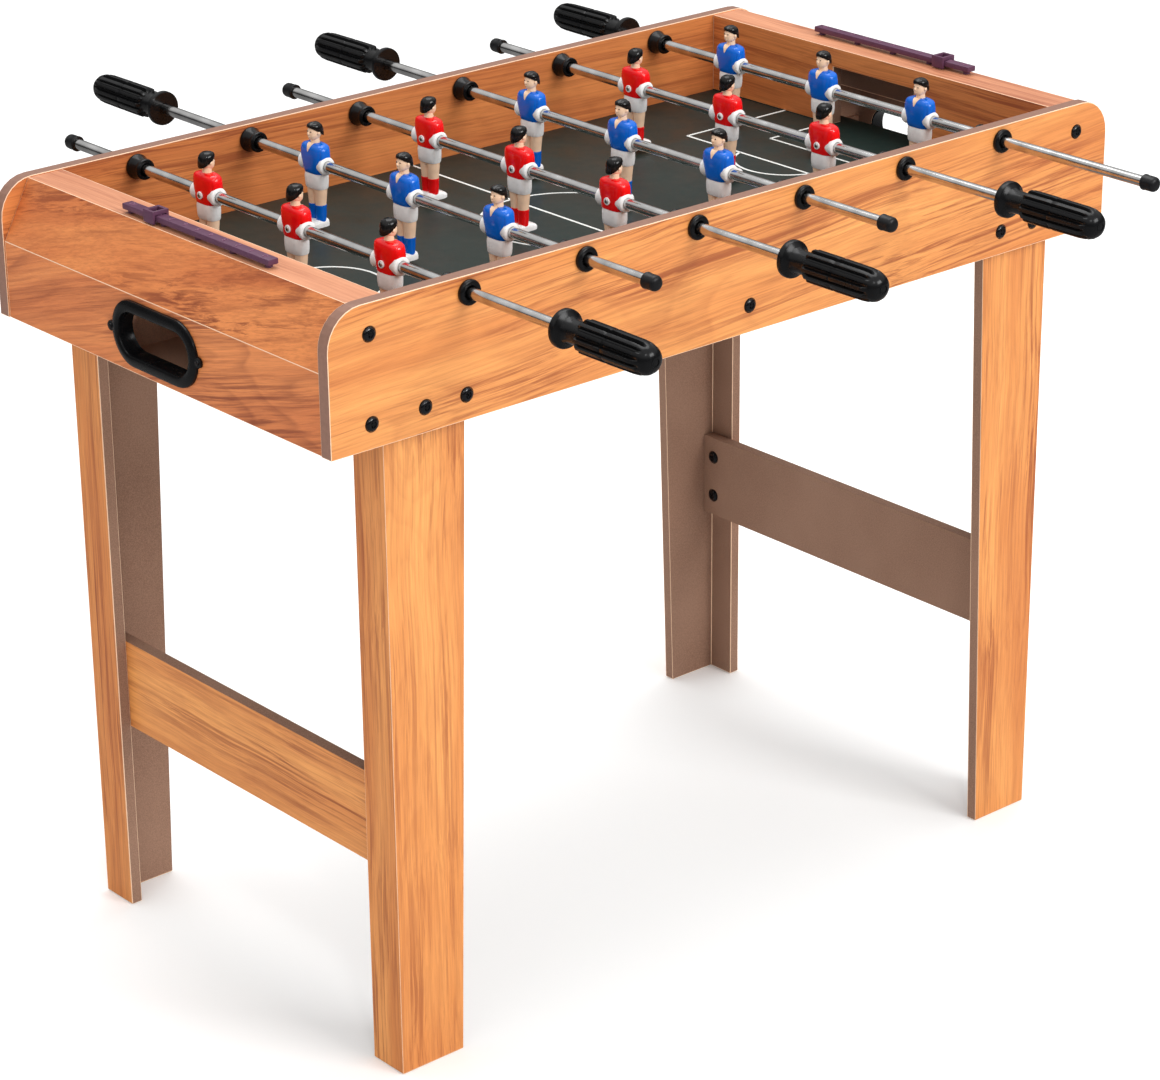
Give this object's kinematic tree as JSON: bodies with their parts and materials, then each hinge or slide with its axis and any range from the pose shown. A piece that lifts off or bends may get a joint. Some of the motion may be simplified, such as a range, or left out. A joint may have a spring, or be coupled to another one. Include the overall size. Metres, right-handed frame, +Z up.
{
  "type": "table football game",
  "caption": "Small table football game on folded L-shaped legs, with sliding and spinning player rods, goals, end cabinets and score counters.",
  "frame": {"origin": "on the floor under the centre of the table", "axes": "+Z up, +X along the table's length, +Y across it, away from the side that carries the first rod's handle"},
  "size_m": [0.7, 0.724, 0.5685],
  "materials": {
    "wood_laminate": "satin printed wood-grain laminate on fibreboard, orange-brown",
    "stretcher_board": "raw brown fibreboard inside, wood-grain laminate outside",
    "field_green": "satin dark green printed board with white lines",
    "steel": "polished steel tube",
    "black_plastic": "satin black moulded plastic",
    "purple_plastic": "satin purple moulded plastic",
    "red_plastic": "glossy painted plastic player, red shirt and socks",
    "blue_plastic": "glossy painted plastic player, blue shirt and socks"
  },
  "bodies": {
    "table": {"side_board_near": "wood_laminate", "side_board_far": "wood_laminate", "playing_field": "field_green", "end_shell_left": "wood_laminate", "ball_tray_left": "stretcher_board", "stretcher_left": "stretcher_board", "score_rail_left": "purple_plastic", "leg_left_near": "wood_laminate", "leg_left_far": "wood_laminate", "end_shell_right": "wood_laminate", "ball_tray_right": "stretcher_board", "stretcher_right": "stretcher_board", "score_rail_right": "purple_plastic", "leg_right_near": "wood_laminate", "leg_right_far": "wood_laminate", "rod_1_bushing_near": "black_plastic", "rod_1_bushing_far": "black_plastic", "rod_2_bushing_near": "black_plastic", "rod_2_bushing_far": "black_plastic", "rod_3_bushing_near": "black_plastic", "rod_3_bushing_far": "black_plastic", "rod_4_bushing_near": "black_plastic", "rod_4_bushing_far": "black_plastic", "rod_5_bushing_near": "black_plastic", "rod_5_bushing_far": "black_plastic", "rod_6_bushing_near": "black_plastic", "rod_6_bushing_far": "black_plastic"},
    "score_pointer_left": {"score_pointer_left": "purple_plastic"},
    "score_pointer_right": {"score_pointer_right": "purple_plastic"},
    "rod_1_slider": {"rod_1_tube": "steel"},
    "rod_1_spinner": {"rod_1_handle": "black_plastic", "rod_1_player_a": "red_plastic", "rod_1_player_b": "red_plastic", "rod_1_player_c": "red_plastic"},
    "rod_2_slider": {"rod_2_tube": "steel"},
    "rod_2_spinner": {"rod_2_handle": "black_plastic", "rod_2_player_a": "blue_plastic", "rod_2_player_b": "blue_plastic", "rod_2_player_c": "blue_plastic"},
    "rod_3_slider": {"rod_3_tube": "steel"},
    "rod_3_spinner": {"rod_3_handle": "black_plastic", "rod_3_player_a": "red_plastic", "rod_3_player_b": "red_plastic", "rod_3_player_c": "red_plastic"},
    "rod_4_slider": {"rod_4_tube": "steel"},
    "rod_4_spinner": {"rod_4_handle": "black_plastic", "rod_4_player_a": "blue_plastic", "rod_4_player_b": "blue_plastic", "rod_4_player_c": "blue_plastic"},
    "rod_5_slider": {"rod_5_tube": "steel"},
    "rod_5_spinner": {"rod_5_handle": "black_plastic", "rod_5_player_a": "red_plastic", "rod_5_player_b": "red_plastic", "rod_5_player_c": "red_plastic"},
    "rod_6_slider": {"rod_6_tube": "steel"},
    "rod_6_spinner": {"rod_6_handle": "black_plastic", "rod_6_player_a": "blue_plastic", "rod_6_player_b": "blue_plastic", "rod_6_player_c": "blue_plastic"}
  },
  "joints": [
    {"name": "rod_1_slide", "type": "slide", "parent": "table", "child": "rod_1_slider", "axis": [0, 1, 0], "range_m": [-0.041, 0.057]},
    {"name": "rod_1_spin", "type": "hinge", "parent": "rod_1_slider", "child": "rod_1_spinner", "pos_m": [-0.24, 0, 0.539], "axis": [0, 1, 0], "continuous": true},
    {"name": "rod_2_slide", "type": "slide", "parent": "table", "child": "rod_2_slider", "axis": [0, 1, 0], "range_m": [-0.048, 0.05]},
    {"name": "rod_2_spin", "type": "hinge", "parent": "rod_2_slider", "child": "rod_2_spinner", "pos_m": [-0.144, 0, 0.539], "axis": [0, 1, 0], "continuous": true},
    {"name": "rod_3_slide", "type": "slide", "parent": "table", "child": "rod_3_slider", "axis": [0, 1, 0], "range_m": [-0.0435, 0.0545]},
    {"name": "rod_3_spin", "type": "hinge", "parent": "rod_3_slider", "child": "rod_3_spinner", "pos_m": [-0.048, 0, 0.539], "axis": [0, 1, 0], "continuous": true},
    {"name": "rod_4_slide", "type": "slide", "parent": "table", "child": "rod_4_slider", "axis": [0, 1, 0], "range_m": [-0.045, 0.053]},
    {"name": "rod_4_spin", "type": "hinge", "parent": "rod_4_slider", "child": "rod_4_spinner", "pos_m": [0.048, 0, 0.539], "axis": [0, 1, 0], "continuous": true},
    {"name": "rod_5_slide", "type": "slide", "parent": "table", "child": "rod_5_slider", "axis": [0, 1, 0], "range_m": [-0.041, 0.057]},
    {"name": "rod_5_spin", "type": "hinge", "parent": "rod_5_slider", "child": "rod_5_spinner", "pos_m": [0.144, 0, 0.539], "axis": [0, 1, 0], "continuous": true},
    {"name": "rod_6_slide", "type": "slide", "parent": "table", "child": "rod_6_slider", "axis": [0, 1, 0], "range_m": [-0.016, 0.057]},
    {"name": "rod_6_spin", "type": "hinge", "parent": "rod_6_slider", "child": "rod_6_spinner", "pos_m": [0.24, 0, 0.539], "axis": [0, 1, 0], "continuous": true},
    {"name": "score_left_slide", "type": "slide", "parent": "table", "child": "score_pointer_left", "axis": [0, 1, 0], "range_m": [-0.114, 0.02]},
    {"name": "score_right_slide", "type": "slide", "parent": "table", "child": "score_pointer_right", "axis": [0, 1, 0], "range_m": [-0.016, 0.118]}
  ]
}
